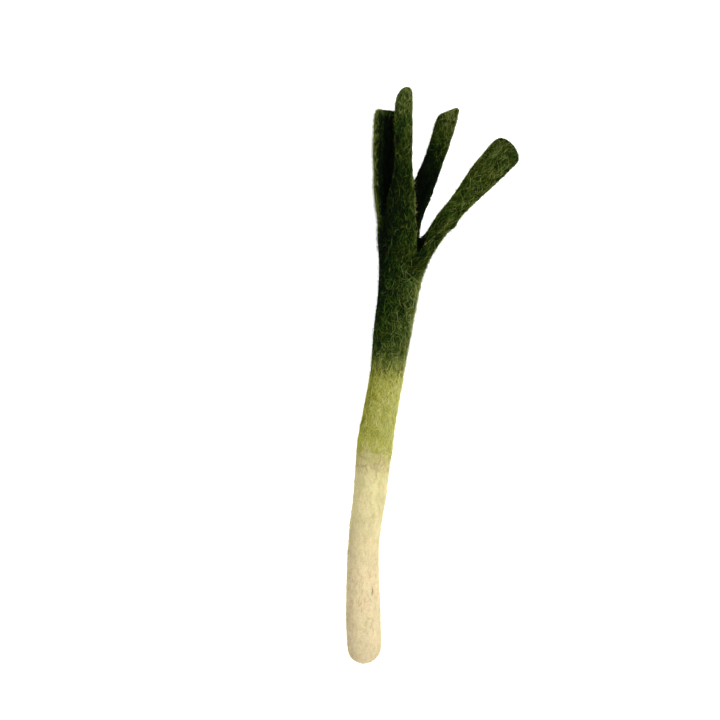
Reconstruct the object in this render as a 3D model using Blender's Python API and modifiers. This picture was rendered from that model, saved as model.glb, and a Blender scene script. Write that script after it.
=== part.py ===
"""A spring onion of felted wool, lying on a table.

Metres, +Z up. +Y runs from the root end to the leaf tips, and +X is the side that the widest leaf leans to.
The origin is the middle of the underside of the onion's bounding box.

The stalk is solid felt in three lots of wool: cream, lime and dark green. The dark green top becomes a tube.
Four leaves are cut out of the tube's wall and spread apart.
"""

import math
from typing import NamedTuple

import bmesh
import bpy
from mathutils import Matrix, Vector

MM = 0.001

# Places on the onion are in millimetres: sideways to the right, along from the root end, up from the table.
# Angles go round the stalk, in degrees: right 0, top 90, left 180, underside 270.
ROOT_ROUNDING = 7.0  # length of the blunt dome at the root end
FLAT_PRESS = 0.45  # how far the onion's weight flattens the underside
STALK_SIDEWAYS = (
    *((0, 0.7), (20, 0.0), (50, 0.0), (72, 2.6), (100, 5.7)),
    *((123, 9.6), (147, 12.9), (168, 15.5), (200, 15.2)),
)
STALK_HALF_WIDTH = (
    *((0, 7.3), (20, 7.6), (50, 6.9), (72, 7.2), (92, 7.6)),
    *((122, 7.1), (147, 8.3), (168, 8.95), (200, 9.6)),
)

# One ball cuts both ends of the lime band, so that the cream and the green wool lap over its rounded ends
LIME_MIDDLE_ALONG = 108.5
LIME_BALL = 18.1
LAP_GAP = 0.3

# The leafy tube. The slits are where two leaves part: the angle, and how far along the cut begins.
WALL = 2.5
TUBE_FOOT = 117.0
HOLLOW_FLOOR = 168.0
SLITS = ((-20, 184.0), (45, 176.5), (150, 187.4), (270, 192.0), (340, 184.0))
PEEL = 16.0  # length over which a leaf leaves the line of the tube

# The wall swells at the root of the leaf that leans out
FLARE_HEIGHT = 7.8
FLARE_FROM = 163.0
FLARE_CURVE = 1.6
FLARE_TOWARDS = 16.0
FLARE_SPREAD = 42.0

# How finely the tube is divided
COLUMNS = 5  # faces across each leaf
FOOT_ROWS = 12
LEAF_ROWS = 15
ROW_CROWDING = 1.35  # above 1, the rows stand closer near the slits, where a leaf bends most


class Station(NamedTuple):
    """The middle of a leaf's outer face at one place, and the leaf's section there."""

    sideways: float
    along: float
    up: float
    width: float
    facing: float  # the angle that the outer face looks to
    wrap: float  # the angle that the section curls round


class Leaf(NamedTuple):
    slits: tuple  # the angles of the two slits that it lies between
    stations: tuple
    slant: float  # how far the tip's corner at the second slit stands out, and the other back
    rounding: float  # how far both corners of the tip fall back
    peel: float = PEEL


LEFT_LEAF = Leaf(
    slits=(150, 270),
    stations=(
        Station(5.8, 205, 3.9, 20.6, 213, 130),
        Station(5.7, 225, 3.7, 20.6, 213, 130),
        Station(6.3, 241, 3.7, 20.2, 213, 130),
    ),
    slant=0.8,
    rounding=0.3,
)
FRONT_LEAF = Leaf(
    slits=(45, 150),
    stations=(
        Station(16.0, 200, 18.2, 15.0, 94, 95),
        Station(17.2, 214, 18.0, 8.9, 90, 58),
        Station(17.2, 232, 17.0, 8.4, 88, 45),
        Station(17.6, 250.0, 15.5, 8.4, 88, 35),
    ),
    slant=-2.2,
    rounding=3.2,
)
BACK_LEAF = Leaf(
    slits=(270, 340),
    stations=(
        Station(24.2, 200.2, 0.6, 13.2, 294, 70),
        Station(29.5, 214.4, 0.8, 10.4, 288, 50),
        Station(33.7, 226.5, 1.4, 10.0, 282, 42),
        Station(37.5, 241, 2.4, 10.2, 280, 36),
    ),
    slant=2.95,
    rounding=0.5,
)
RIGHT_LEAF = Leaf(
    slits=(-20, 45),
    stations=(
        Station(35.0, 186.8, 7.2, 14.8, -48, 64),
        Station(37.3, 193.2, 4.8, 11.1, -60, 50),
        Station(41.4, 198.3, 2.9, 10.2, -68, 42),
        Station(53.2, 213.1, 0.6, 13.4, -84, 22),
        Station(65.8, 226.5, 0.0, 15.0, -88, 16),
    ),
    slant=-0.5,
    rounding=3.2,
    peel=10.0,
)
LEAVES_ROUND_THE_TUBE = (RIGHT_LEAF, FRONT_LEAF, LEFT_LEAF, BACK_LEAF)

# Fulled wool is never quite even
LUMP_SIZE = 11.0
LUMP_HEIGHT = 0.7

ROLL_STEP = 4.0  # between rings of points along a roll
ROLL_BEVEL = 8  # gives 20 sides
DOME_RINGS = 7
BALL_SEGMENTS = 48
TABLE_SIDE = 800.0
TABLE_DEPTH = 20.0

WOOL_ROUGHNESS = 0.95
WOOL_COLOURS = {
    "cream_wool": (0.78, 0.66, 0.38),
    "lime_wool": (0.36, 0.36, 0.08),
    "dark_green_wool": (0.030, 0.050, 0.008),
}


def smooth_value(stations, at):
    """The value at a place on a smooth curve through (place, value) pairs. Values are numbers or Vectors."""
    last = len(stations) - 1
    at = min(max(at, stations[0][0]), stations[last][0])
    i = max(k for k in range(last) if stations[k][0] <= at)
    (a, value_a), (b, value_b) = stations[i], stations[i + 1]

    def slope(k):
        low, high = max(k - 1, 0), min(k + 1, last)
        return (stations[high][1] - stations[low][1]) * (1 / (stations[high][0] - stations[low][0]))

    t, span = (at - a) / (b - a), b - a
    return (
        value_a * (2 * t**3 - 3 * t**2 + 1)
        + slope(i) * (span * (t**3 - 2 * t**2 + t))
        + value_b * (3 * t**2 - 2 * t**3)
        + slope(i + 1) * (span * (t**3 - t**2))
    )


def ease(share):
    """0 to 1 with a soft start and end."""
    share = min(max(share, 0), 1)
    return share * share * (3 - 2 * share)


def half_width(along):
    dome = 1.0
    if along < ROOT_ROUNDING:
        dome = math.sqrt(max(0, 1 - (1 - along / ROOT_ROUNDING) ** 2))
    return smooth_value(STALK_HALF_WIDTH, along) * dome


def stalk_middle(along):
    """The stalk's axis. Its height keeps the underside pressed the same depth into the table all along."""
    resting = smooth_value(STALK_HALF_WIDTH, along) - FLAT_PRESS
    return Vector((smooth_value(STALK_SIDEWAYS, along), along, resting))


def add_object(name, mesh, collection):
    made = bpy.data.objects.new(name, mesh)
    made.parent = bpy.data.objects["onion_origin"]
    collection.objects.link(made)
    return made


def object_from_bmesh(name, shape, collection):
    mesh = bpy.data.meshes.new(name)
    shape.to_mesh(mesh)
    shape.free()
    return add_object(name, mesh, collection)


def roll(name, collection, stops, inset=0.0):
    """A solid roll of felt along the stalk, from a curve whose points carry the radius."""
    curve = bpy.data.curves.new(name, "CURVE")
    curve.dimensions = "3D"
    curve.bevel_depth = MM
    curve.bevel_resolution = ROLL_BEVEL
    curve.use_fill_caps = True
    spline = curve.splines.new("POLY")
    spline.points.add(len(stops) - 1)
    for point, along in zip(spline.points, stops):
        point.co = (*(stalk_middle(along) * MM), 1)
        point.radius = half_width(along) - inset
    guide = bpy.data.objects.new(name + "_guide", curve)
    bpy.context.scene.collection.objects.link(guide)
    graph = bpy.context.evaluated_depsgraph_get()
    mesh = bpy.data.meshes.new_from_object(guide.evaluated_get(graph))
    bpy.data.objects.remove(guide)
    shape = bmesh.new()
    shape.from_mesh(mesh)
    bmesh.ops.remove_doubles(shape, verts=shape.verts, dist=0.01 * MM)
    bmesh.ops.recalc_face_normals(shape, faces=shape.faces)
    return object_from_bmesh(name, shape, collection)


def even_stops(start, end):
    count = math.ceil((end - start) / ROLL_STEP)
    return [start + (end - start) * k / count for k in range(count + 1)]


def dome_stops():
    """Rings of the root end's dome, at even angles round it."""
    return [ROOT_ROUNDING * (1 - math.cos(math.pi / 2 * k / DOME_RINGS)) for k in range(1, DOME_RINGS)]


def ball(name, collection, radius):
    """A cutter round the middle of the lime band."""
    shape = bmesh.new()
    bmesh.ops.create_uvsphere(
        shape, u_segments=BALL_SEGMENTS, v_segments=BALL_SEGMENTS // 2, radius=radius * MM
    )
    middle = Matrix.Translation(stalk_middle(LIME_MIDDLE_ALONG) * MM)
    shape.transform(middle @ Matrix.Rotation(math.pi / 2, 4, "X"))
    return object_from_bmesh(name, shape, collection)


def table(name, collection):
    """A cutter whose top is the table's surface."""
    shape = bmesh.new()
    bmesh.ops.create_cube(shape, size=MM)
    size = Matrix.Diagonal((TABLE_SIDE, TABLE_SIDE, TABLE_DEPTH, 1))
    shape.transform(Matrix.Translation((0, 0, -TABLE_DEPTH / 2 * MM)) @ size)
    return object_from_bmesh(name, shape, collection)


def slit_height(angle):
    """How far along the tube ends and the leaves begin, at an angle between two slits."""
    for (a, from_height), (b, to_height) in zip(SLITS, SLITS[1:]):
        if a <= angle <= b:
            return from_height + (to_height - from_height) * ease((angle - a) / (b - a))
    raise ValueError(f"no slits on both sides of {angle}")


def ring_point(angle, along):
    """A point on the tube's outer face."""
    off = abs((angle - FLARE_TOWARDS + 180) % 360 - 180)
    rise = max(0, (along - FLARE_FROM) / (slit_height(FLARE_TOWARDS) - FLARE_FROM)) ** FLARE_CURVE
    flare = FLARE_HEIGHT * rise * ease(1 - off / FLARE_SPREAD)
    turn = math.radians(angle)
    out = Vector((math.cos(turn), 0, math.sin(turn)))
    return stalk_middle(along) + out * (half_width(along) + flare)


def section_point(middle, tangent, width, facing, wrap, across):
    """A point of a leaf's curled section. across is -1 at the first slit's edge and 1 at the second's."""
    side = tangent.cross(Vector((0, 0, 1))).normalized()
    up = side.cross(tangent).normalized()
    facing, wrap = math.radians(facing), math.radians(wrap)

    def outward(angle):
        return side * math.cos(angle) + up * math.sin(angle)

    return middle + (outward(facing + across * wrap / 2) - outward(facing)) * (width / wrap)


def leaf_angles(leaf):
    """The angles of a leaf's columns of points where it grows out of the tube."""
    first, second = leaf.slits
    return [first + (second - first) * k / COLUMNS for k in range(COLUMNS + 1)]


def leaf_rows(leaf):
    """Rows of points of a leaf's outer face, from just past the slits to the tip."""
    first, second = leaf.slits
    middle_angle, wrap = (first + second) / 2, second - first
    root = slit_height(middle_angle)
    foot = Station(*ring_point(middle_angle, root), half_width(root) * math.radians(wrap), middle_angle, wrap)
    stations = [Vector(station) for station in (foot, *leaf.stations)]
    places = [0.0]
    for a, b in zip(stations, stations[1:]):
        places.append(places[-1] + (Vector(b[:3]) - Vector(a[:3])).length)
    path, length = list(zip(places, stations)), places[-1]
    nudge = length / LEAF_ROWS / 4

    rows = []
    for i in range(1, LEAF_ROWS + 1):
        share = (i / LEAF_ROWS) ** ROW_CROWDING
        here = Station(*smooth_value(path, share * length))
        ahead = smooth_value(path, share * length + nudge)
        behind = smooth_value(path, share * length - nudge)
        middle, tangent = Vector(here[:3]), (Vector(ahead[:3]) - Vector(behind[:3])).normalized()
        peel = ease(share * length / leaf.peel)
        row = []
        for column, angle in enumerate(leaf_angles(leaf)):
            across = 2 * column / COLUMNS - 1
            on_tube = ring_point(angle, slit_height(angle) + share * length)
            on_leaf = section_point(middle, tangent, here.width, here.facing, here.wrap, across)
            cut = (leaf.slant * across - leaf.rounding * across**2) * ease(2 * share - 1)
            row.append(on_tube.lerp(on_leaf + tangent * cut, peel))
        rows.append(row)
    return rows


def leafy_tube(name, collection):
    """The tube's outer face with its four leaves, as one open sheet."""
    shape = bmesh.new()
    angles = [angle for leaf in LEAVES_ROUND_THE_TUBE for angle in leaf_angles(leaf)[:-1]]
    rings = []
    for j in range(FOOT_ROWS + 1):
        heights = [TUBE_FOOT + (slit_height(angle) - TUBE_FOOT) * j / FOOT_ROWS for angle in angles]
        rings.append([shape.verts.new(ring_point(*at) * MM) for at in zip(angles, heights)])
    for low, high in zip(rings, rings[1:]):
        for k in range(-1, len(angles) - 1):
            shape.faces.new((low[k + 1], low[k], high[k], high[k + 1]))
    for number, leaf in enumerate(LEAVES_ROUND_THE_TUBE):
        low = [rings[-1][(number * COLUMNS + k) % len(angles)] for k in range(COLUMNS + 1)]
        for row in leaf_rows(leaf):
            high = [shape.verts.new(point * MM) for point in row]
            for k in range(COLUMNS):
                shape.faces.new((low[k + 1], low[k], high[k], high[k + 1]))
            low = high
    return object_from_bmesh(name, shape, collection)


def add_wall(obj):
    """Gives the open sheet its felt thickness, inwards, and soft edges."""
    wall = obj.modifiers.new("wall", "SOLIDIFY")
    wall.thickness = WALL * MM
    wall.offset = -1
    wall.use_even_offset = False
    softening = obj.modifiers.new("soft_edges", "SUBSURF")
    softening.levels = softening.render_levels = 1


def add_lumps(obj, texture):
    lumps = obj.modifiers.new("lumps", "DISPLACE")
    lumps.texture = texture
    lumps.texture_coords = "LOCAL"
    lumps.strength = LUMP_HEIGHT * MM
    lumps.mid_level = 0.5


def add_boolean(obj, name, operation, other):
    joint = obj.modifiers.new(name, "BOOLEAN")
    joint.operation = operation
    joint.object = other
    joint.solver = "EXACT"


def wool(name):
    made = bpy.data.materials.new(name)
    made.use_nodes = True
    surface = made.node_tree.nodes["Principled BSDF"]
    surface.inputs["Base Color"].default_value = (*WOOL_COLOURS[name], 1)
    surface.inputs["Roughness"].default_value = WOOL_ROUGHNESS
    surface.inputs["Metallic"].default_value = 0
    made.diffuse_color = (*WOOL_COLOURS[name], 1)
    return made


def centre_on_underside(pieces, origin):
    """Moves the pieces' parent so that the middle of the bounding box's underside is the world's origin."""
    bpy.context.view_layer.update()
    graph = bpy.context.evaluated_depsgraph_get()
    corners = [Vector(corner) for piece in pieces for corner in piece.evaluated_get(graph).bound_box]
    for axis in (0, 1):
        values = [corner[axis] for corner in corners]
        origin.location[axis] = -(min(values) + max(values)) / 2
    bpy.context.view_layer.update()


def clear_scene():
    for obj in list(bpy.data.objects):
        bpy.data.objects.remove(obj)


def add_collection(name):
    made = bpy.data.collections.new(name)
    bpy.context.scene.collection.children.link(made)
    return made


def main():
    clear_scene()
    origin = bpy.data.objects.new("onion_origin", None)
    bpy.context.scene.collection.objects.link(origin)
    onion, cutters = add_collection("spring_onion"), add_collection("cutters")

    middle = LIME_MIDDLE_ALONG
    cream = roll("cream_shank", onion, dome_stops() + even_stops(ROOT_ROUNDING, middle))
    reach = LIME_BALL + ROLL_STEP
    lime = roll("lime_band", onion, even_stops(middle - reach, middle + reach))
    green = leafy_tube("green_leaves", onion)
    add_wall(green)

    felt_lumps = bpy.data.textures.new("felt_lumps", "CLOUDS")
    felt_lumps.noise_scale = LUMP_SIZE * MM
    felt_lumps.noise_depth = 1
    for piece in (cream, lime, green):
        add_lumps(piece, felt_lumps)

    stalk_in_tube = roll("stalk_in_tube", cutters, even_stops(TUBE_FOOT, HOLLOW_FLOOR), inset=WALL / 2)
    lime_ends = ball("lime_ends", cutters, LIME_BALL)
    lapped_ends = ball("lapped_ends", cutters, LIME_BALL + LAP_GAP)
    surface = table("table_surface", cutters)
    add_boolean(green, "stalk", "UNION", stalk_in_tube)
    add_boolean(green, "lap", "DIFFERENCE", lapped_ends)
    add_boolean(cream, "lap", "DIFFERENCE", lapped_ends)
    add_boolean(lime, "ends", "INTERSECT", lime_ends)
    for piece in (cream, lime, green):
        add_boolean(piece, "flat_underside", "DIFFERENCE", surface)
    for cutter in cutters.objects:
        cutter.hide_render = True
        cutter.display_type = "WIRE"

    for piece, name in ((cream, "cream_wool"), (lime, "lime_wool"), (green, "dark_green_wool")):
        piece.data.materials.append(wool(name))
        piece.data.shade_smooth()
    centre_on_underside((cream, lime, green), origin)


main()
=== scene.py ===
"""A spring onion of felted wool: a fine felt skin on each lot of wool, with its nap of loose fibres over it.

Places are in millimetres in the part's frame, and metres are made only where Blender needs them. +Y runs to
the leaf tips, +X to the side that the widest leaf leans to, and the table is at 0.
"""

from typing import NamedTuple

import bmesh
import bpy
import numpy as np
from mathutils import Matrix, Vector, noise
from mathutils.bvhtree import BVHTree


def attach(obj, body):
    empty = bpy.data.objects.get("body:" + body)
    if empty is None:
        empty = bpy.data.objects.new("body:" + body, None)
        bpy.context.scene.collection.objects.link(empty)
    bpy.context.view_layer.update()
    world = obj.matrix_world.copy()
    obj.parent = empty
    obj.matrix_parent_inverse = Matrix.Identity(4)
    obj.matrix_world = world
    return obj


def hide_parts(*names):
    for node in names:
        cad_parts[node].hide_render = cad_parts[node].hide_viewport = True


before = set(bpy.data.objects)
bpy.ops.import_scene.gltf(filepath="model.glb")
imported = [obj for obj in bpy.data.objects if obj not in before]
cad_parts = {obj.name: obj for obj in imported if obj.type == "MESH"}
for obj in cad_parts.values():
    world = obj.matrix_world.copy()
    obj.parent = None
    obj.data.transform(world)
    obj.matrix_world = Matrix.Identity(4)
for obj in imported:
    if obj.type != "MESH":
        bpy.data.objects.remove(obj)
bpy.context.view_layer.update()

MM = 0.001
SEED = 7

# Middle lines that the wool was rubbed along while it felted. Each leaf's line goes on from about the end of
# the stalk's.
STALK_LINE = ((-29.5, -125, 7), (-30.1, -90, 7), (-27.5, -53, 7), (-20.5, -2, 7), (-15, 43, 9), (-14, 56, 9))
LEAF_LINES = {
    "left_leaf": ((-14, 56, 9), (-17, 80, 6), (-17, 117, 6)),
    "front_leaf": ((-14, 56, 14), (-12.9, 89, 17), (-12.5, 125, 14)),
    "back_leaf": ((-14, 56, 9), (-0.6, 89.5, 2), (7.4, 116, 3.5)),
    "right_leaf": ((-10.5, 48, 9), (4.5, 62, 7), (23, 88, 2), (35, 101, 1)),
}
GUIDE_STEP = 2.5  # between the points set along them

# Where the wool changes, in millimetres from the root along those lines
LIME_STARTS = 92
GREEN_STARTS = 129.5
LEAVES_START = 184
LEAVES_END = 256

# The felt skin is cut into its three lots of wool square to the stalk
LOW_CUT = Vector((-24.6, -32.7, 7))
HIGH_CUT = Vector((-20.1, 0.3, 7))
STALK_WAY = Vector((0.14, 0.99, 0))

LAP_CLOSE = 0.2  # swells each lot of wool until the three meet, and is taken off again
WELD = 0.001  # corners nearer than this are one corner
SKIN_GRID = 0.52
SKIN_SMOOTHING = 3
SOFT_LUMP, SOFT_LUMP_HEIGHT = 3.0, 0.3
FINE_LUMP, FINE_LUMP_HEIGHT = 1.1, 0.12

# The felt's colour, by the distance from the root. In the green the felt is darker than the fibres over it:
# dark dye, deepened as painted shade of the depth under the nap.
DYE = (
    (0, "#d5c49e"),
    (40, "#d6c59c"),
    (80, "#d2c993"),
    (LIME_STARTS - 4, "#cbc189"),
    (LIME_STARTS + 1, "#bfba6c"),
    (GREEN_STARTS - 8, "#a3a347"),
    (GREEN_STARTS - 2, "#5f6424"),
    (GREEN_STARTS + 6, "#2a3310"),
    (GREEN_STARTS + 24, "#0f1a05"),
    (LEAVES_START + 30, "#0c1504"),
    (LEAVES_END, "#1a2409"),
)

# Clouds of uneven dye, mottling and specks: width and length in millimetres, detail, roughness, and the
# darkest and palest tone that each gives
UNEVEN_DYE = (
    (5, 11, 2.0, 0.6, 0.92, 1.07),
    (1.5, 4, 3.0, 0.6, 0.94, 1.04),
    (0.6, 0.6, 2.0, 0.7, 0.89, 1.1),
)
NOISE_LOW, NOISE_HIGH = 0.3, 0.7  # nearly all of a noise lies between these

# Shades that the dyer's wool was blended from, each lot from its darkest fibre to its palest. The palest
# tints of the green lots and the hair lot are paler fibres, greyed by a painted sheen.
WOOL = {
    "cream": ("#a89a63", "#c2b47f", "#d4c793", "#dfd2a2", "#ebe0b6"),
    "lime": ("#6d6e1c", "#97983b", "#bcbc55", "#d0cf70", "#dcdb90"),
    "pine": ("#020502", "#061006", "#0f220a", "#203a13", "#385022"),
    "forest": ("#050b02", "#0e1e03", "#1f3b07", "#345515", "#4f6c2f"),
    "olive": ("#101604", "#242c06", "#3e4a0e", "#5d6a21", "#7d8547"),
    "hair": ("#18260c", "#364b19", "#5f702a", "#8a9648", "#aeb66c"),
    "parting": ("#b3a06c",),
}
TINTS = [tint for lot in WOOL.values() for tint in lot]
FIRST_TINT = {lot: TINTS.index(tints[0]) for lot, tints in WOOL.items()}
CREAM_ENDS = len(WOOL["cream"]) / len(TINTS)


def linear(hex_colour):
    """An sRGB hex colour as linear red, green, blue and alpha."""
    parts = [int(hex_colour[i : i + 2], 16) / 255 for i in (1, 3, 5)]
    return (*(c / 12.92 if c <= 0.04045 else ((c + 0.055) / 1.055) ** 2.4 for c in parts), 1.0)


def add(tree, kind, inputs, **settings):
    """One node with its settings. An input is a value, or the output socket that it is linked to.

    In a MapRange, inputs 1 and 2 are the values taken and 3 and 4 what they become. In a Mix, inputs 2 and 3
    are the numbers that it mixes, and 6 and 7 the colours.
    """
    made = tree.nodes.new("ShaderNode" + kind)
    for key, value in settings.items():
        setattr(made, key, value)
    for key, value in inputs.items():
        if isinstance(value, bpy.types.NodeSocket):
            tree.links.new(value, made.inputs[key])
        else:
            made.inputs[key].default_value = value
    return made


def set_stops(ramp, stops, blend="LINEAR"):
    """Gives a colour ramp its (place, colour) stops."""
    band = ramp.color_ramp
    band.interpolation = blend
    while len(band.elements) > 1:
        band.elements.remove(band.elements[-1])
    for number, (place, colour) in enumerate(stops):
        stop = band.elements[0] if number == 0 else band.elements.new(place)
        stop.position = place
        stop.color = colour
    return ramp.outputs["Color"]


def new_material(name):
    made = bpy.data.materials.new(name)
    made.use_nodes = True
    made.node_tree.nodes.clear()
    return made, made.node_tree


def object_from(name, data):
    made = bpy.data.objects.new(name, data)
    bpy.context.scene.collection.objects.link(made)
    return made


def mesh_points(mesh):
    """The places of a mesh's corners, in millimetres."""
    points = np.empty(len(mesh.vertices) * 3)
    mesh.vertices.foreach_get("co", points)
    return points.reshape(-1, 3) / MM


def unit(vectors):
    return vectors / np.maximum(np.linalg.norm(vectors, axis=-1, keepdims=True), 1e-9)


def fade(values, none, full):
    """0 where a value is at none or beyond it, 1 where it is at full or beyond it, and even between."""
    return np.clip((values - none) / (full - none), 0, 1)


class Guides(NamedTuple):
    """Points along the middle lines, each with its direction, its distance from the root and its leaf."""

    places: np.ndarray
    ways: np.ndarray
    along: np.ndarray
    leaf: np.ndarray  # 0 for the stalk, then 1 to 4 in the order of LEAF_LINES
    share: np.ndarray  # 0 at a leaf's root to 1 at its tip


def line_length(line):
    return sum((Vector(end) - Vector(start)).length for start, end in zip(line, line[1:]))


def make_guides():
    places, ways, along, leaf, share = [], [], [], [], []
    stalk_length = line_length(STALK_LINE)
    for number, line in enumerate((STALK_LINE, *LEAF_LINES.values())):
        travelled = stalk_length if number else 0
        for start, end in zip(line, line[1:]):
            start, end = Vector(start), Vector(end)
            steps = max(2, round((end - start).length / GUIDE_STEP))
            for step in range(steps):
                places.append(start.lerp(end, step / steps))
                ways.append((end - start).normalized())
                along.append(travelled + (end - start).length * step / steps)
                leaf.append(number)
                share.append((along[-1] - stalk_length) / line_length(line) if number else 0)
            travelled += (end - start).length
    return Guides(*(np.array(values) for values in (places, ways, along, leaf, share)))


def nearest_guide(guides, points):
    """The number of the guide point nearest to each place, found for a batch of places at a time."""
    batch = 20000
    found = np.empty(len(points), dtype=int)
    for start in range(0, len(points), batch):
        some = points[start : start + batch]
        far = ((some[:, None, :] - guides.places[None]) ** 2).sum(axis=2)
        found[start : start + batch] = far.argmin(axis=1)
    return found


def grain_places(guides, points):
    """Each place in the grain's own frame, sideways, along and up, and its nearest guide point."""
    nearest = nearest_guide(guides, points)
    way = guides.ways[nearest]
    offset = points - guides.places[nearest]
    side = unit(np.cross(way, (0, 0, 1)))
    up = np.cross(side, way)
    sideways = (offset * side).sum(axis=1)
    along = guides.along[nearest] + (offset * way).sum(axis=1)
    return np.stack((sideways, along, (offset * up).sum(axis=1)), axis=1), nearest


# How far an overhang shelters the wool under it, and the rays that look for one
SHELTER_REACH = 16
RAY_START = 0.3  # off the felt
RAY_TILTS = ((0, 0), (0.9, 0), (-0.9, 0), (0, 0.9), (0, -0.9))
ODD_WAY = (0.3, 0.2, 0.93)  # any direction that the felt hardly ever faces


def shelter(tree, points, normals):
    """How much of the sky over each place the onion itself hides, from 0 to 1."""
    hidden = np.zeros(len(points))
    side = unit(np.cross(normals, ODD_WAY))
    other = np.cross(normals, side)
    for tilt, slant in RAY_TILTS:
        rays = unit(normals + side * tilt + other * slant)
        begin = points + normals * RAY_START
        for number, (place, ray) in enumerate(zip(begin, rays)):
            if tree.ray_cast(Vector(place), Vector(ray), SHELTER_REACH)[0] is not None:
                hidden[number] += 1 / len(RAY_TILTS)
    return hidden


def lumps(skin, name, size, height):
    texture = bpy.data.textures.new(name, "CLOUDS")
    texture.noise_scale = size * MM
    texture.noise_depth = 2
    bumps = skin.modifiers.new(name, "DISPLACE")
    bumps.texture = texture
    bumps.texture_coords = "LOCAL"
    bumps.strength = height * MM
    bumps.mid_level = 0.5


def swell(skin, name, amount):
    change = skin.modifiers.new(name, "DISPLACE")
    change.strength = amount * MM
    change.mid_level = 0


def felt_skin():
    """One fine closed skin round all three lots of wool, because they are felted into one body."""
    shape = bmesh.new()
    for node in ("cream_shank", "lime_band", "green_leaves"):
        shape.from_mesh(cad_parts[node].data)
    bmesh.ops.remove_doubles(shape, verts=shape.verts, dist=WELD * MM)
    mesh = bpy.data.meshes.new("felt_skin")
    shape.to_mesh(mesh)
    shape.free()
    skin = object_from("felt_skin", mesh)
    rounding = skin.modifiers.new("rounding", "SUBSURF")
    rounding.levels = rounding.render_levels = 1
    swell(skin, "close_laps", LAP_CLOSE)
    grid = skin.modifiers.new("grid", "REMESH")
    grid.mode = "VOXEL"
    grid.voxel_size = SKIN_GRID * MM
    smoothing = skin.modifiers.new("smoothing", "SMOOTH")
    smoothing.factor = 0.5
    smoothing.iterations = SKIN_SMOOTHING
    swell(skin, "to_size", -LAP_CLOSE)
    lumps(skin, "soft_lumps", SOFT_LUMP, SOFT_LUMP_HEIGHT)
    lumps(skin, "fine_lumps", FINE_LUMP, FINE_LUMP_HEIGHT)
    graph = bpy.context.evaluated_depsgraph_get()
    made = bpy.data.meshes.new_from_object(skin.evaluated_get(graph))
    bpy.data.objects.remove(skin)
    points = mesh_points(made)
    points[:, 2] = np.maximum(points[:, 2], 0)
    made.vertices.foreach_set("co", (points * MM).ravel())
    return made


def cut_skin(mesh, name, cuts):
    """The part of the skin behind each cut, closed where it was cut. A cut is a place and the way it
    faces."""
    shape = bmesh.new()
    shape.from_mesh(mesh)
    for place, facing in cuts:
        everything = shape.verts[:] + shape.edges[:] + shape.faces[:]
        bmesh.ops.bisect_plane(
            shape, geom=everything, plane_co=place * MM, plane_no=facing, clear_outer=True
        )
        rim = [edge for edge in shape.edges if edge.is_boundary]
        lid = bmesh.ops.holes_fill(shape, edges=rim)["faces"]
        bmesh.ops.triangulate(shape, faces=lid)
    piece = bpy.data.meshes.new(name)
    shape.to_mesh(piece)
    shape.free()
    piece.shade_smooth()
    return object_from(name, piece)


def note_on_corners(piece, name, kind, values):
    """Keeps a value for each corner of a mesh, which its material reads."""
    kept = piece.data.attributes.new(name, kind, "POINT")
    field = "vector" if kind == "FLOAT_VECTOR" else "value"
    kept.data.foreach_set(field, np.ascontiguousarray(values, dtype=np.float32).ravel())


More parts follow.
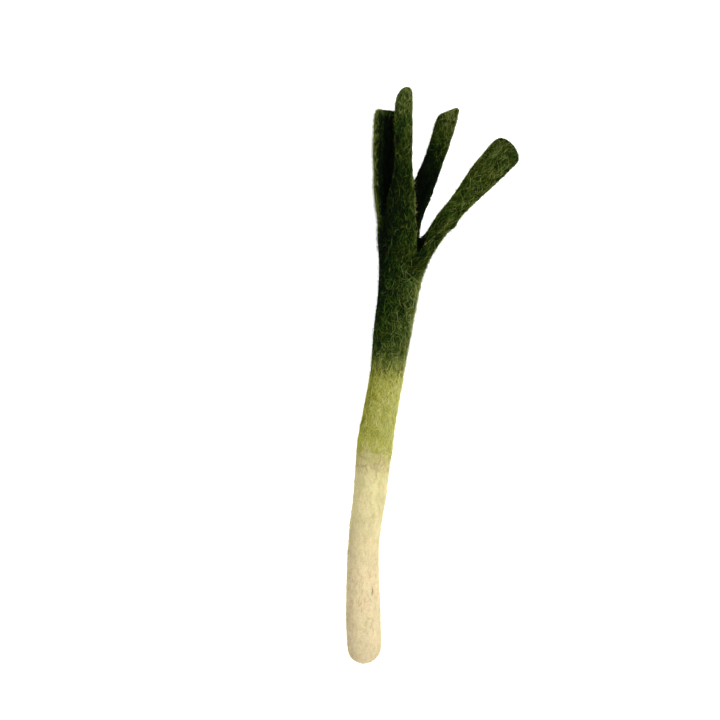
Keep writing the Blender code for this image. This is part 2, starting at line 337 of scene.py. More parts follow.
def felted_wool():
    """Felted wool: scaly fibres locked into a dense mat by wetting and rubbing. The eye gets a matt face with
    no gloss, clouds of uneven dye, and fine lengthwise lines of fibre with dark gaps between them."""
    material, tree = new_material("felted_wool")
    grain = add(tree, "Attribute", {}, attribute_name="grain").outputs["Vector"]
    sheltered = add(tree, "Attribute", {}, attribute_name="shelter").outputs["Fac"]
    parts = add(tree, "SeparateXYZ", {"Vector": grain})
    sideways, along = parts.outputs["X"], parts.outputs["Y"]

    # Each lot of wool runs into the next in ragged tongues about 1.5 mm wide and 6 mm long, which reach 4 mm
    tongue = (1 / 1.5, 1 / 6, 1 / 1.5)
    tongue_place = add(tree, "VectorMath", {0: grain, 1: tongue}, operation="MULTIPLY")
    tongues = add(tree, "TexNoise", {"Vector": tongue_place.outputs[0], "Scale": 1.0, "Detail": 2.0})
    reach = {0: tongues.outputs["Fac"], 1: NOISE_LOW, 2: NOISE_HIGH, 3: -4.0, 4: 4.0}
    reaching = add(tree, "MapRange", reach)
    ragged = add(tree, "Math", {0: along, 1: reaching.outputs[0]}, operation="ADD")
    place = add(tree, "Math", {0: ragged.outputs[0], 1: LEAVES_END}, operation="DIVIDE")
    lots = add(tree, "ValToRGB", {"Fac": place.outputs[0]})
    dyed = set_stops(lots, [(distance / LEAVES_END, linear(colour)) for distance, colour in DYE])

    tones = []
    for width, length, detail, roughness, darkest, palest in UNEVEN_DYE:
        size = (1 / width, 1 / length, 1 / width)
        spot_place = add(tree, "VectorMath", {0: grain, 1: size}, operation="MULTIPLY").outputs[0]
        grade = {"Scale": 1.0, "Detail": detail, "Roughness": roughness}
        spots = add(tree, "TexNoise", {"Vector": spot_place, **grade})
        spread = {0: spots.outputs["Fac"], 1: NOISE_LOW, 2: NOISE_HIGH, 3: darkest, 4: palest}
        tones.append(add(tree, "MapRange", spread))

    # Fibre lines: a noise drawn out to 0.7 mm by 4 mm, bent up to 3 mm by a coarser noise. The lime and the
    # green are looser than the cream, with deeper gaps and a stronger relief.
    bend = add(tree, "TexNoise", {"Vector": grain, "Scale": 1 / 3, "Detail": 2.0})
    bent = add(tree, "VectorMath", {0: bend.outputs["Color"], 1: (3, 3, 3)}, operation="MULTIPLY")
    fibre_place = add(tree, "VectorMath", {0: grain, 1: bent.outputs[0]}, operation="ADD")
    line = (1 / 0.7, 1 / 4, 1 / 0.7)
    drawn = add(tree, "VectorMath", {0: fibre_place.outputs[0], 1: line}, operation="MULTIPLY")
    grade = {"Scale": 1.0, "Detail": 3.0, "Roughness": 0.7}
    fibres = add(tree, "TexNoise", {"Vector": drawn.outputs[0], **grade}).outputs["Fac"]
    loosening = {0: along, 1: LIME_STARTS - 4, 2: LIME_STARTS + 6}
    gap_depth = add(tree, "MapRange", {**loosening, 3: 0.985, 4: 0.7})
    tones.append(add(tree, "MapRange", {0: fibres, 1: 0.35, 2: 0.6, 3: gap_depth.outputs[0], 4: 1.06}))
    relief = add(tree, "MapRange", {**loosening, 3: 0.2, 4: 1.0})
    height = add(tree, "Math", {0: fibres, 1: relief.outputs[0]}, operation="MULTIPLY")
    bump = add(tree, "Bump", {"Height": height.outputs[0], "Distance": 0.2 * MM, "Strength": 0.4})

    # The green is painted darker on its left flank and paler on its right: painted side light and shade, as
    # from the lamp on the right. Every lot is painted darker along both flanks, most on the left, as painted
    # side shade, and much darker where a leaf overhangs it, as painted shade.
    greenness = add(tree, "MapRange", {0: along, 1: GREEN_STARTS - 2, 2: GREEN_STARTS + 6})
    side_shading = add(tree, "MapRange", {0: sideways, 1: -9.0, 2: 9.0, 3: 0.55, 4: 1.5})
    in_green = {0: greenness.outputs[0], 2: 1.0, 3: side_shading.outputs[0]}
    tones.append(add(tree, "Mix", in_green, data_type="FLOAT"))
    tones.append(add(tree, "MapRange", {0: sideways, 1: -7.0, 2: -2.5, 3: 0.79, 4: 1.0}))
    tones.append(add(tree, "MapRange", {0: sideways, 1: 2.5, 2: 7.0, 3: 1.0, 4: 0.93}))
    tones.append(add(tree, "MapRange", {0: sheltered, 1: 0.15, 2: 0.8, 3: 1.0, 4: 0.3}))
    tone = tones[0].outputs[0]
    for other in tones[1:]:
        tone = add(tree, "Math", {0: tone, 1: other.outputs[0]}, operation="MULTIPLY").outputs[0]

    # The dye drifts from peach to greenish within 5 mm
    drift = add(tree, "TexNoise", {"Vector": grain, "Scale": 1 / 5, "Detail": 1.0})
    drifts = add(tree, "ValToRGB", {"Fac": drift.outputs["Fac"]})
    peach, plain, greenish = (1.0, 0.97, 0.965, 1), (1, 1, 1, 1), (0.97, 0.985, 0.94, 1)
    drifted = set_stops(drifts, [(0.35, peach), (0.5, plain), (0.65, greenish)])
    tinted = add(tree, "VectorMath", {0: dyed, 1: drifted}, operation="MULTIPLY")
    toned = add(tree, "VectorMath", {0: tinted.outputs[0], "Scale": tone}, operation="SCALE")
    felt = {
        "Base Color": toned.outputs[0],
        "Roughness": 0.95,
        "Specular IOR Level": 0.05,
        "Normal": bump.outputs[0],
    }
    add(tree, "OutputMaterial", {"Surface": add(tree, "BsdfPrincipled", felt).outputs[0]})
    return material


def wool_fibre():
    """Loose wool fibre, dyed and combed: a soft matt strand in one of the blended shades. Its ends, where it
    sinks into the felt, are painted darker as shade, least so in the cream, and that gives the nap its depth.
    Its UV map holds its shade across and its length upwards."""
    material, tree = new_material("wool_fibre")
    place = add(tree, "UVMap", {}, uv_map="OFBake").outputs["UV"]
    parts = add(tree, "SeparateXYZ", {"Vector": place})
    shades = add(tree, "ValToRGB", {"Fac": parts.outputs["X"]})
    tints = [(number / len(TINTS), linear(tint)) for number, tint in enumerate(TINTS)]
    shade = set_stops(shades, tints, "CONSTANT")
    # Painted shade at both ends of the strand, where it sinks into the felt
    end_shade = add(tree, "ValToRGB", {"Fac": parts.outputs["Y"]})
    dark, full = (0.6, 0.6, 0.6, 1), (1, 1, 1, 1)
    depth = set_stops(end_shade, [(0, dark), (0.3, full), (0.7, full), (1, dark)])
    is_cream = add(tree, "Math", {0: parts.outputs["X"], 1: CREAM_ENDS}, operation="LESS_THAN")
    pale = add(tree, "MapRange", {0: is_cream.outputs[0], 3: 0.0, 4: 0.8})
    evened = add(tree, "Mix", {0: pale.outputs[0], 6: depth, 7: full}, data_type="RGBA")
    toned = add(tree, "VectorMath", {0: shade, 1: evened.outputs[2]}, operation="MULTIPLY")
    strand = {"Base Color": toned.outputs[0], "Roughness": 0.85, "Specular IOR Level": 0.05}
    add(tree, "OutputMaterial", {"Surface": add(tree, "BsdfPrincipled", strand).outputs[0]})
    return material


class Nap(NamedTuple):
    """How one area's loose fibres lie, how its dye runs, and how it is painted lighter and darker as light
    and shade.
    """

    per_mm2: float
    length: tuple  # shortest and longest, mm
    radius: tuple  # finest and thickest, mm
    stray: float  # spread of their direction from the grain, radians
    curl: float  # turn at each step, radians
    tones: tuple = (0, 0, 0, 0, 0)  # tones up or down, at the shares of the leaf's length in TONE_PLACES
    # Painted side light and shade: the right side paler and the left darker, as the lamp on the right falls
    side_shading: float = 0  # tones up on its right side and down on its left
    contrast: float = 1.25  # spread of the tones from fibre to fibre
    olive: float = 0.35  # share of olive wool
    hairs: float = 0.08  # share of fine long hairs that lie over the rest in all directions


TONE_PLACES = (0, 0.2, 0.45, 0.75, 1)
STALK_NAPS = {
    "cream": Nap(0.4, (2, 5.5), (0.035, 0.06), 0.5, 0.3, side_shading=0.7, contrast=0.8, hairs=0),
    "lime": Nap(2.7, (4, 9.5), (0.06, 0.12), 0.5, 0.35, side_shading=0.85, contrast=1.15, hairs=0.15),
    "neck": Nap(3.8, (2, 5.5), (0.06, 0.12), 0.7, 0.4, side_shading=0.9, contrast=1.3, olive=0.25, hairs=0.2),
}
# The leaves' tones paint shade in the back leaf's middle, where the front leaf overhangs it, and at the right
# leaf's root, in the hollow there. Otherwise they run darker near the roots and paler toward the tips.
LEAF_NAPS = {
    "left_leaf": Nap(
        3.6, (2, 5.5), (0.06, 0.12), 0.5, 0.4,
        tones=(-0.2, -0.4, -0.3, 0.0, 0.3), side_shading=-0.5, hairs=0.01,
    ),
    "front_leaf": Nap(
        4.4, (2, 5.5), (0.06, 0.11), 0.45, 0.4,
        tones=(-0.5, -0.6, -0.5, 0.2, 3.0), side_shading=1.6, olive=0.45, hairs=0.03,
    ),
    "back_leaf": Nap(
        4.0, (2, 5.5), (0.06, 0.12), 0.5, 0.4,
        tones=(-0.1, -0.6, -2.7, -0.4, 1.9), side_shading=1.1, hairs=0.03,
    ),
    "right_leaf": Nap(
        4.5, (2, 6), (0.055, 0.105), 0.4, 0.35,
        tones=(-0.8, -0.1, 0.5, 0.6, 0.7), side_shading=0.2, contrast=1.1, olive=0.6, hairs=0.05,
    ),
}
NAPS = {**STALK_NAPS, **LEAF_NAPS}

# A strand's shape: a ring of corners at each step between its two ends
STEPS = 4
RINGS = STEPS - 1
SIDES = 3
THICKNESS = np.array((0.8, 1, 0.8))  # of each ring, times the radius
FLATNESS = 0.6  # its height over its width
TUCK = 0.12  # how deep its ends sink into the felt

# A fibre's bend, as shares of its area's curl: one that it keeps, and one that it takes at each step
KEPT_BEND = 0.6
STEP_BEND = 0.7

HAIR_RADIUS = (0.05, 0.08)
HAIR_LENGTH = 1.7  # times a lying fibre's
HAIR_STRAY = 1.3  # times a lying fibre's
HAIR_LIFT = (0.2, 0.4)

# The neck has fewer hairs the more it faces left: the share of them that is left where it faces straight up,
# what is added to that where it faces right, and the least and the most
NECK_HAIRS = (0.5, 0.8, 0.08, 0.8)

# Fine hairs that have worked loose at one end stand clear of the felt, and blur its outline
FLYAWAY_SHARE = 0.12
EDGE_FLYAWAY_SHARE = 0.7  # where the felt faces sideways
EDGE_FACING = 0.45
LEFT_FLANK_SHARE = 0.25  # times as many on the stalk's left flank, which was rubbed smooth
LEFT_FACING = -0.5
FLYAWAY_RADIUS = (0.045, 0.08)
FLYAWAY_LIFT = (0.3, 1.9)
FLYAWAY_LENGTH = 0.55  # of a lying fibre's
FLYAWAY_CURVE = 1.3  # how late along its length it rises
# Flyaways at the outline take pale tints: painted rim light where the outline catches light. Fewer are pale
# on the left leaf, and fewer still on the front leaf's left side, in the shaded gap.
PALE_FLYAWAYS = 0.65
PALE_ON_LEFT_LEAF = 0.35
PALE_IN_THE_GAP = 0.15  # on the front leaf's left side, which faces the left leaf

# The height of a fibre's middle over the felt: pale fibres lie over dark ones
LOW_LIFT = 0.03
LIFT_PER_TONE = 0.05
LOOSE_LIFT = 0.2

# A short dark parting in the cream, between two locks, laid as a few dark fibres
PARTING = (Vector((-25.3, -90.7, 14)), Vector((-26.7, -95.1, 14)))
PARTING_FIBRES = 5
PARTING_SPREAD = 0.14
PARTING_LENGTHS = (0.7, 1)  # shares of the parting's
PARTING_BEND = 0.05
PARTING_LIFT = LOW_LIFT + LIFT_PER_TONE * 5

# Fibres wound round the stalk where the cream meets the lime, and the tilt of their direction from the grain
WOUND_MIDDLE = LIME_STARTS - 2
WOUND_REACH = 6
WOUND_SHARE = 0.6
WOUND_DENSITY = 5  # times the cream's
WOUND_TILT = 1.35

UNDERSIDE_SHARE = 0.3  # of the fibres, on the felt that lies on the table
UNDERSIDE_FACING, UNDERSIDE_HEIGHT = -0.7, 1
FLOOR_GAP = 0.03

DYE_STRAY = 3.2  # how far a fibre's dye strays from its place along the onion
FLANK_AT = 9  # the distance beside the middle line where a flank is at its darkest or palest
LEAF_BLEND = 0.25  # the share of a leaf over which the neck's flank tone turns to the leaf's own

# Patches where the wool was blended unevenly: their size, and a shift that makes each kind lie elsewhere
PATCHES = {"patch": (6, (0, 0, 0)), "olive_patch": (9, (40, 0, 0)), "fleck": (3.5, (0, 70, 0))}
FLECK_FROM = 0.5

# What each thing about a fibre's place adds to the tone of the green there, to its shares of olive and pine
# wool, and to the fibre's own tone. Tones run from 0 for the darkest tint of a lot to 4 for its palest.
# Several of these are painted light and shade: the flank tones make the left darker and the right paler, the
# tone for felt facing outward paints rim light on the outline, and the tones for hidden sky and for the left
# leaf's gutter paint shade there. The lime's extra darkening on its left is painted shade too.
AREA_TONE = {"side_shading": 1, "hidden": -3.6, "rim_light": 1.1, "gutter_shade": -1.8, "cut_edge": 1.3}
OLIVE_SHARE = {"olive_patch": 0.4, "area": 0.25, "near_lime": 0.6, "rim_light": 0.5, "fleck": -0.8}
PINE_SHARE = {"anywhere": 0.15, "olive_patch": -0.5, "area": -0.4, "near_lime": -0.6, "fleck": 0.7}
GREEN_TONE = {"anywhere": 1.7, "patch": 0.15, "area": 0.8, "near_lime": 1.1, "at_lime": 0.9, "mixed": 1}
HAIR_TONE = {"anywhere": 2, "area": 0.9, "near_lime": 0.9, "hidden": -3, "rim_light": 0.4, "hair_mixed": 1}
LIME_TONE = {
    "anywhere": 2.3, "patch": 0.5, "near_green": -0.8, "side_shading": 1, "left": -0.8, "mixed": 1, "hair": 1.3
}
CREAM_TONE = {"anywhere": 2.2, "patch": 0.7, "near_edge": 1.2, "side_shading": 1, "mixed": 1, "edge_mixed": 1.5}
MIXED_LIMITS = (-1.8, 1.3)  # of the chance tones, before the area's contrast
HAIR_MIXED = 0.75  # spread of the hairs' chance tones

# Lime fibres within this distance of the cream are at least this pale, on the cream's side and on their own
MEETING_REACH = 7
PALE_MEETING = (3.0, 1.6)


def area_names(along, leaf):
    names = np.array(["neck", *LEAF_LINES])[leaf]
    names = np.where((leaf == 0) & (along < GREEN_STARTS), "lime", names)
    return np.where((leaf == 0) & (along < LIME_STARTS), "cream", names)


def seed_places(mesh, guides, chance):
    """Where each fibre starts, area by area, with fewer on the flat underside. Returns places, facings and
    areas."""
    mesh.calc_loop_triangles()
    corners = np.empty(len(mesh.loop_triangles) * 3, dtype=np.int32)
    mesh.loop_triangles.foreach_get("vertices", corners)
    points = mesh_points(mesh)
    a, b, c = (points[corners.reshape(-1, 3)[:, k]] for k in range(3))
    cross = np.cross(b - a, c - a)
    size = np.linalg.norm(cross, axis=1) / 2
    middles = (a + b + c) / 3
    grain, nearest = grain_places(guides, middles)
    names = area_names(grain[:, 1], guides.leaf[nearest])
    share = np.array([NAPS[name].per_mm2 for name in names])
    share[(names == "cream") & (grain[:, 1] > WOUND_MIDDLE - WOUND_REACH)] *= WOUND_DENSITY
    facing = unit(cross)
    underneath = (facing[:, 2] < UNDERSIDE_FACING) & (middles[:, 2] < UNDERSIDE_HEIGHT)
    weight = size * share * np.where(underneath, UNDERSIDE_SHARE, 1)
    count = int(weight.sum())
    even_steps = (np.arange(count) + chance.random(count)) * weight.sum() / count
    picked = np.searchsorted(weight.cumsum(), even_steps)
    u, v = chance.random((2, count))
    over = u + v > 1
    u[over], v[over] = 1 - u[over], 1 - v[over]
    starts = a[picked] + (b - a)[picked] * u[:, None] + (c - a)[picked] * v[:, None]
    return starts, facing[picked], names[picked]


def turned(ways, normals, angles):
    """Directions turned about the normals."""
    return ways * np.cos(angles)[:, None] + np.cross(normals, ways) * np.sin(angles)[:, None]


def fibre_plans(guides, starts, names, chance):
    """Each fibre's direction along the grain, its length, its turn from that direction and its curl."""
    naps = [NAPS[name] for name in names]
    count = len(starts)
    grain, nearest = grain_places(guides, starts)
    flip = np.where(chance.random(count) < 0.5, 1, -1)
    ways = guides.ways[nearest] * flip[:, None]
    length = np.array([nap.length for nap in naps])
    length = length[:, 0] + (length[:, 1] - length[:, 0]) * chance.random(count) ** 1.5
    turn = chance.normal(0, 1, count) * np.array([nap.stray for nap in naps])
    near = (np.abs(grain[:, 1] - WOUND_MIDDLE) < WOUND_REACH) & (guides.leaf[nearest] == 0)
    wound = near & (chance.random(count) < WOUND_SHARE)
    return ways, length, turn + WOUND_TILT * wound, np.array([nap.curl for nap in naps])


def fibre_paths(tree, starts, ways, length, turn, curl, chance):
    """Walks each fibre over the felt. Returns its points and the felt's normals there, step by step."""
    count = len(starts)
    kept_bend = chance.normal(0, KEPT_BEND, count) * curl
    step = length / STEPS
    here, way = starts, ways
    points, normals = [], []
    for number in range(STEPS + 1):
        found = [tree.find_nearest(Vector(place)) for place in here]
        here = np.array([place for place, _, _, _ in found])
        normal = np.array([facing for _, facing, _, _ in found])
        way = unit(way - normal * (way * normal).sum(axis=1, keepdims=True))
        bend = kept_bend + chance.normal(0, STEP_BEND, count) * curl if number else turn
        way = turned(way, normal, bend)
        points.append(here)
        normals.append(normal)
        here = here + way * step[:, None]
    return np.stack(points, axis=1), np.stack(normals, axis=1)


def weighed(weights, about):
    """What is known about each fibre's place, each thing times its weight, added up."""
    return sum(weight * about[thing] for thing, weight in weights.items())


def fibre_shades(guides, middles, facing, names, hidden, hair, chance):
    """Each fibre's lot of wool, by its place along the onion, and its tone in it, by the area, the patch and
    chance."""
    naps = [NAPS[name] for name in names]
    count = len(middles)
    grain, nearest = grain_places(guides, middles)
    place, share = grain[:, 1], guides.share[nearest]
    along = place + chance.normal(0, DYE_STRAY, count)
    side = np.clip(grain[:, 0] / FLANK_AT, -1, 1)
    about = {"anywhere": 1, "hair": hair, "left": np.clip(-side, 0, 1)}
    for kind, (size, shift) in PATCHES.items():
        about[kind] = np.array([noise.noise(Vector(point) / size + Vector(shift)) for point in middles])
    about["fleck"] = about["fleck"] > FLECK_FROM
    about["near_edge"] = fade(along, none=LIME_STARTS - 9, full=LIME_STARTS)
    about["near_green"] = fade(place, none=GREEN_STARTS - 9, full=GREEN_STARTS + 1)
    about["at_lime"] = fade(place, none=GREEN_STARTS + 8, full=GREEN_STARTS - 2)
    about["near_lime"] = fade(along, none=GREEN_STARTS + 26, full=GREEN_STARTS)

    # Past its root, a leaf has its own painted side light and shade instead of the neck's
    past_root = np.where(guides.leaf[nearest] > 0, fade(share, none=0, full=LEAF_BLEND), 1)
    own_side_shading = np.array([nap.side_shading for nap in naps])
    about["side_shading"] = (side + side**3) * (NAPS["neck"].side_shading * (1 - past_root) + own_side_shading * past_root)

    # Felt that faces away from the middle line is painted pale: painted rim light where the outline catches
    # light, but on the neck and the leaves' roots only on the lit right side. The left leaf is still a
    # gutter, with painted shade inside it, and the cut edge at its tip is pale.
    across = unit(np.cross(guides.ways[nearest], (0, 0, 1)))
    outward = (facing * across).sum(axis=1) * np.sign(grain[:, 0])
    at_root = 1 - np.where(names == "neck", 0, past_root)
    right_side = fade(side, none=-1 / 6, full=2 / 3)
    about["rim_light"] = fade(outward, none=0.65, full=0.95) * (1 - at_root * (1 - right_side))
    gutter = names == "left_leaf"
    about["cut_edge"] = gutter * fade(share, none=0.95, full=0.97)
    # Painted shade inside the gutter, on the felt that faces in toward the middle line
    about["gutter_shade"] = gutter * fade(outward, none=0.45, full=0.05) * (1 - about["cut_edge"])
    # Painted shade where the onion itself hides the sky, except at the cut edge
    about["hidden"] = hidden * (1 - about["cut_edge"])
    about["area"] = weighed(AREA_TONE, about)
    for area, nap in NAPS.items():
        there = names == area
        about["area"][there] += np.interp(share[there], TONE_PLACES, nap.tones)

    own_olive = np.array([nap.olive for nap in naps])
    olive = chance.random(count) < own_olive + weighed(OLIVE_SHARE, about)
    pine = chance.random(count) < weighed(PINE_SHARE, about)
    contrast = np.array([nap.contrast for nap in naps])
    about["mixed"] = np.clip(chance.normal(0, 1, count), *MIXED_LIMITS) * contrast
    about["edge_mixed"] = about["mixed"] * about["near_edge"]
    about["hair_mixed"] = chance.normal(0, HAIR_MIXED, count)

    lime_tone = weighed(LIME_TONE, about)
    least = np.where(place < LIME_STARTS, *PALE_MEETING)
    meeting = np.abs(place - LIME_STARTS) < MEETING_REACH
    lime_tone = np.where(meeting, np.maximum(lime_tone, least), lime_tone)
    in_cream, in_lime = along < LIME_STARTS - 1, along < GREEN_STARTS
    first = [FIRST_TINT[lot] for lot in ("cream", "lime", "hair", "olive", "pine")]
    lot = np.select([in_cream, in_lime, hair, olive, pine], first, FIRST_TINT["forest"])
    tone = [weighed(CREAM_TONE, about), lime_tone, weighed(HAIR_TONE, about)]
    tone = np.select([in_cream, in_lime, hair], tone, weighed(GREEN_TONE, about))
    return lot, np.clip(np.round(tone), 0, 4).astype(int)


class Fibres(NamedTuple):
    """Loose fibres: the points of each and the felt's normals there, then one value for each."""

    points: np.ndarray
    normals: np.ndarray
    radius: np.ndarray
    lift: np.ndarray
    loose: np.ndarray  # whether its far end stands clear of the felt
    shade: np.ndarray  # the number of its tint in TINTS


def lay_fibres(mesh, guides, tree, chance):
    """All the fibres on the felt, and the area that each lies in."""
    starts, facing, names = seed_places(mesh, guides, chance)
    ways, length, turn, curl = fibre_plans(guides, starts, names, chance)

    # The parting's own fibres come last
    first, last = (np.array(place) for place in PARTING)
    few = PARTING_FIBRES
    parting = np.repeat([False, True], (len(starts), few))
    starts = np.concatenate((starts, first + chance.normal(0, PARTING_SPREAD, (few, 3))))
    facing = np.concatenate((facing, np.tile((0, 0, 1), (few, 1))))
    names = np.concatenate((names, ["cream"] * few))
    ways = np.concatenate((ways, np.tile(unit(last - first), (few, 1))))
    length = np.append(length, np.linalg.norm(last - first) * chance.uniform(*PARTING_LENGTHS, few))
    turn, curl = (np.append(values, np.full(few, PARTING_BEND)) for values in (turn, curl))
    count = len(names)

    loose_share = np.where(np.abs(facing[:, 2]) < EDGE_FACING, EDGE_FLYAWAY_SHARE, FLYAWAY_SHARE)
    left_flank = np.isin(names, list(STALK_NAPS)) & (facing[:, 0] < LEFT_FACING)
    loose_share[left_flank] *= LEFT_FLANK_SHARE
    loose = np.zeros(count, dtype=bool)
    loose[~parting] = chance.random((~parting).sum()) < loose_share[~parting]
    hair_share = np.array([NAPS[name].hairs for name in names])
    on_neck = names == "neck"
    facing_up, per_facing, fewest, most = NECK_HAIRS
    hair_share[on_neck] *= np.clip(facing_up + per_facing * facing[on_neck, 0], fewest, most)
    hair = (chance.random(count) < hair_share) & ~loose & ~parting
    length[loose] *= FLYAWAY_LENGTH
    length[hair] *= HAIR_LENGTH
    turn[hair] *= HAIR_STRAY
    points, normals = fibre_paths(tree, starts, ways, length, turn, curl, chance)

    middles, facing = points[:, STEPS // 2], normals[:, STEPS // 2]
    hidden = shelter(tree, middles, facing)
    # Pale flyaways at the outline are painted rim light
    on_edge = np.abs(facing[:, 2]) < EDGE_FACING
    pale_share = np.where(names == "left_leaf", PALE_ON_LEFT_LEAF, PALE_FLYAWAYS)
    pale_share[(names == "front_leaf") & (facing[:, 0] < 0)] = PALE_IN_THE_GAP
    pale = hair | (loose & on_edge & (chance.random(count) < pale_share))
    lots, tones = fibre_shades(guides, middles, facing, names, hidden, pale, chance)
    finest, thickest = np.array([NAPS[name].radius for name in names]).T
    radius = finest + (thickest - finest) * chance.random(count)
    lift = LOW_LIFT + LIFT_PER_TONE * tones + LOOSE_LIFT * chance.random(count) ** 2
    radius[hair] = chance.uniform(*HAIR_RADIUS, hair.sum())
    lift[hair] = chance.uniform(*HAIR_LIFT, hair.sum())
    radius[loose] = chance.uniform(*FLYAWAY_RADIUS, loose.sum())
    lift[loose] = chance.uniform(*FLYAWAY_LIFT, loose.sum())
    lift[parting] = PARTING_LIFT
    shade = np.where(parting, FIRST_TINT["parting"], lots + tones)
    return Fibres(points, normals, radius, lift, loose, shade), names


def strand_faces():
    """One strand's faces: the corners of each in turn, how many each has, and each corner's place across the
    strand and up it. Corner 0 is the first end, then come the rings, and the far end is last."""
    last = RINGS * SIDES + 1
    top = last - SIDES
    corners, sizes, across, up = [], [], [], []
    for turn in range(SIDES):
        after = (turn + 1) % SIDES
        corners += [0, 1 + after, 1 + turn]
        across += [turn + 0.5, turn + 1, turn]
        up += [0, 1, 1]
        sizes.append(3)
        for ring in range(RINGS - 1):
            low, high = 1 + ring * SIDES, 1 + (ring + 1) * SIDES
            corners += [low + turn, low + after, high + after, high + turn]
            across += [turn, turn + 1, turn + 1, turn]
            up += [ring + 1, ring + 1, ring + 2, ring + 2]
            sizes.append(4)
        corners += [top + turn, top + after, last]
        across += [turn, turn + 1, turn + 0.5]
        up += [RINGS, RINGS, RINGS + 1]
        sizes.append(3)
    return (np.array(values) for values in (corners, sizes, across, up))


def fibre_mesh(name, fibres):
    """One mesh of closed three-sided strands, each pointed and tucked into the felt at both ends, or at its
    first end where the other has worked loose."""
    count = len(fibres.points)
    share = np.arange(STEPS + 1) / STEPS
    tucked = np.sin(np.pi * share) * fibres.lift[:, None] - TUCK * np.isin(share, (0, 1))
    standing = share**FLYAWAY_CURVE * fibres.lift[:, None] - TUCK * (share == 0)
    height = np.where(fibres.loose[:, None], standing, tucked)
    spine = fibres.points + fibres.normals * height[:, :, None]
    tangent = unit(spine[:, 2:] - spine[:, :-2])
    side = unit(np.cross(tangent, fibres.normals[:, 1:-1]))
    upward = np.cross(side, tangent)
    thick = (fibres.radius[:, None] * THICKNESS)[:, :, None]
    rings = []
    for turn in range(SIDES):
        angle = np.pi / 2 + turn * np.pi * 2 / SIDES
        sideways = side * thick * np.cos(angle)
        rings.append(spine[:, 1:-1] + sideways + upward * thick * FLATNESS * np.sin(angle))
    rings = np.stack(rings, axis=2).reshape(count, RINGS * SIDES, 3)
    places = np.concatenate((spine[:, :1], rings, spine[:, -1:]), axis=1)
    places[:, :, 2] = np.maximum(places[:, :, 2], FLOOR_GAP)

    corners, sizes, across, up = strand_faces()
    per_strand = places.shape[1]
    loops = (corners[None] + np.arange(count)[:, None] * per_strand).ravel().astype(np.int32)
    sizes = np.tile(sizes, count).astype(np.int32)
    starts = np.concatenate(([0], np.cumsum(sizes)[:-1])).astype(np.int32)
    mesh = bpy.data.meshes.new(name)
    mesh.vertices.add(count * per_strand)
    mesh.vertices.foreach_set("co", (places * MM).ravel())
    mesh.loops.add(len(loops))
    mesh.loops.foreach_set("vertex_index", loops)
    mesh.polygons.add(len(sizes))
    mesh.polygons.foreach_set("loop_start", starts)
    mesh.update(calc_edges=True)

    # A strand's corners stay clear of the edges of its tint, so that none takes the next tint's colour
    u = (fibres.shade[:, None] + 0.1 + 0.8 * across[None] / SIDES) / len(TINTS)
    v = np.broadcast_to(up[None] / STEPS, u.shape)
    layer = mesh.uv_layers.new(name="OFBake")
    layer.uv.foreach_set("vector", np.stack((u, v), axis=2).astype(np.float32).ravel())
    mesh.shade_smooth()
    mesh.validate()
    return mesh


guides = make_guides()
skin = felt_skin()
skin_faces = [list(face.vertices) for face in skin.polygons]
felt_tree = BVHTree.FromPolygons(mesh_points(skin).tolist(), skin_faces)
wool = felted_wool()
for name, node, slot, cuts in (
    ("cream_felt", "cream_shank", "cream_wool", [(LOW_CUT, STALK_WAY)]),
    ("lime_felt", "lime_band", "lime_wool", [(LOW_CUT, -STALK_WAY), (HIGH_CUT, STALK_WAY)]),
    ("green_felt", "green_leaves", "dark_green_wool", [(HIGH_CUT, -STALK_WAY)]),
):
    piece = cut_skin(skin, name, cuts)
    places = mesh_points(piece.data)
    note_on_corners(piece, "grain", "FLOAT_VECTOR", grain_places(guides, places)[0])
    facings = np.empty(len(places) * 3, dtype=np.float32)
    piece.data.vertices.foreach_get("normal", facings)
    # The green felt notes how much sky the leaves hide over it, which its material paints as shade
    leaves_over = name == "green_felt"
    hidden = shelter(felt_tree, places, facings.reshape(-1, 3)) if leaves_over else np.zeros(len(places))
    note_on_corners(piece, "shelter", "FLOAT", hidden)
    piece.data.materials.append(wool)
    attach(piece, "root")
    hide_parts(node)

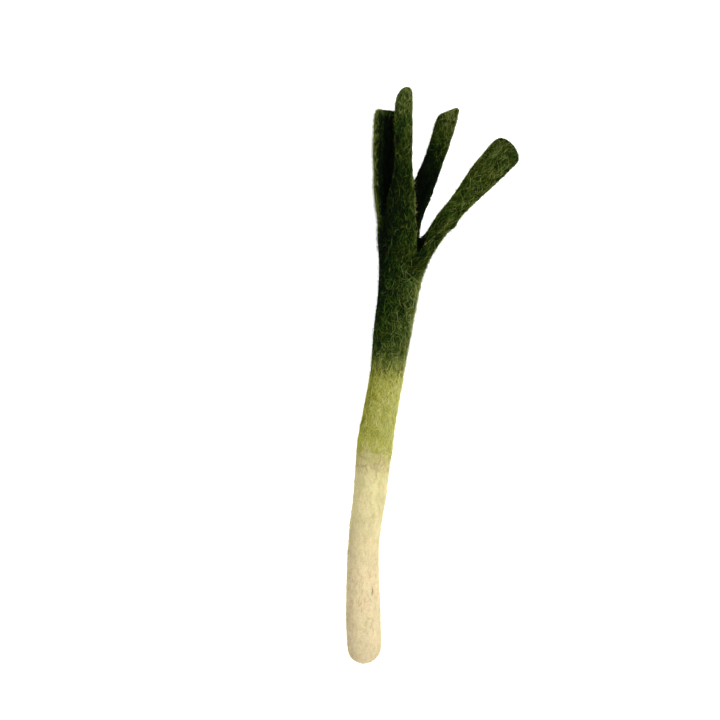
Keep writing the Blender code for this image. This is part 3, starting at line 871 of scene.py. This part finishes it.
fibres, names = lay_fibres(skin, guides, felt_tree, np.random.default_rng(SEED))
strand = wool_fibre()
for area in NAPS:
    here = names == area
    slot = {"cream": "cream_wool", "lime": "lime_wool"}.get(area, "dark_green_wool")
    mesh = fibre_mesh(area + "_nap", Fibres(*(values[here] for values in fibres)))
    mesh.materials.append(strand)
    piece = object_from(area + "_nap", mesh)
    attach(piece, "root")

# Stage: a white sheet lit softly from below, a large soft lamp from the right and pale light from all round
SHEET_REACH = 3000
SHEET_GLOW = 0.85
LAMP_PLACE = (850, 400, 2400)
LAMP_SIZE = 2000
LAMP_WATTS = 60
ROOM_LIGHT = 0.5
CAMERA_PLACE = (-31.71, 6.99, 874.6)
CAMERA_LENS = 100

# Frosted white acrylic over lamps: an even white ground, which leaves next to no shadow
acrylic, sheet_tree = new_material("backlit_acrylic")
glow = {
    "Base Color": (0.96, 0.96, 0.96, 1),
    "Roughness": 0.9,
    "Emission Color": (1, 1, 1, 1),
    "Emission Strength": SHEET_GLOW,
}
add(sheet_tree, "OutputMaterial", {"Surface": add(sheet_tree, "BsdfPrincipled", glow).outputs[0]})
floor_mesh = bpy.data.meshes.new("floor")
reach = SHEET_REACH * MM
sheet_corners = [(-reach, -reach, 0), (reach, -reach, 0), (reach, reach, 0), (-reach, reach, 0)]
floor_mesh.from_pydata(sheet_corners, [], [(0, 1, 2, 3)])
floor_mesh.materials.append(acrylic)
floor = object_from("floor", floor_mesh)

world = bpy.data.worlds.new("pale_room")
world.use_nodes = True
world.node_tree.nodes["Background"].inputs["Color"].default_value = (1, 1, 1, 1)
world.node_tree.nodes["Background"].inputs["Strength"].default_value = ROOM_LIGHT
bpy.context.scene.world = world

lamp = object_from("lamp", bpy.data.lights.new("lamp", "AREA"))
lamp.data.energy = LAMP_WATTS
lamp.data.size = LAMP_SIZE * MM
lamp.location = Vector(LAMP_PLACE) * MM
lamp.rotation_euler = Vector(LAMP_PLACE).to_track_quat("Z", "Y").to_euler()

camera = object_from("camera", bpy.data.cameras.new("camera"))
camera.data.lens = CAMERA_LENS
camera.location = Vector(CAMERA_PLACE) * MM
bpy.context.scene.camera = camera
bpy.context.scene.view_settings.view_transform = "Standard"
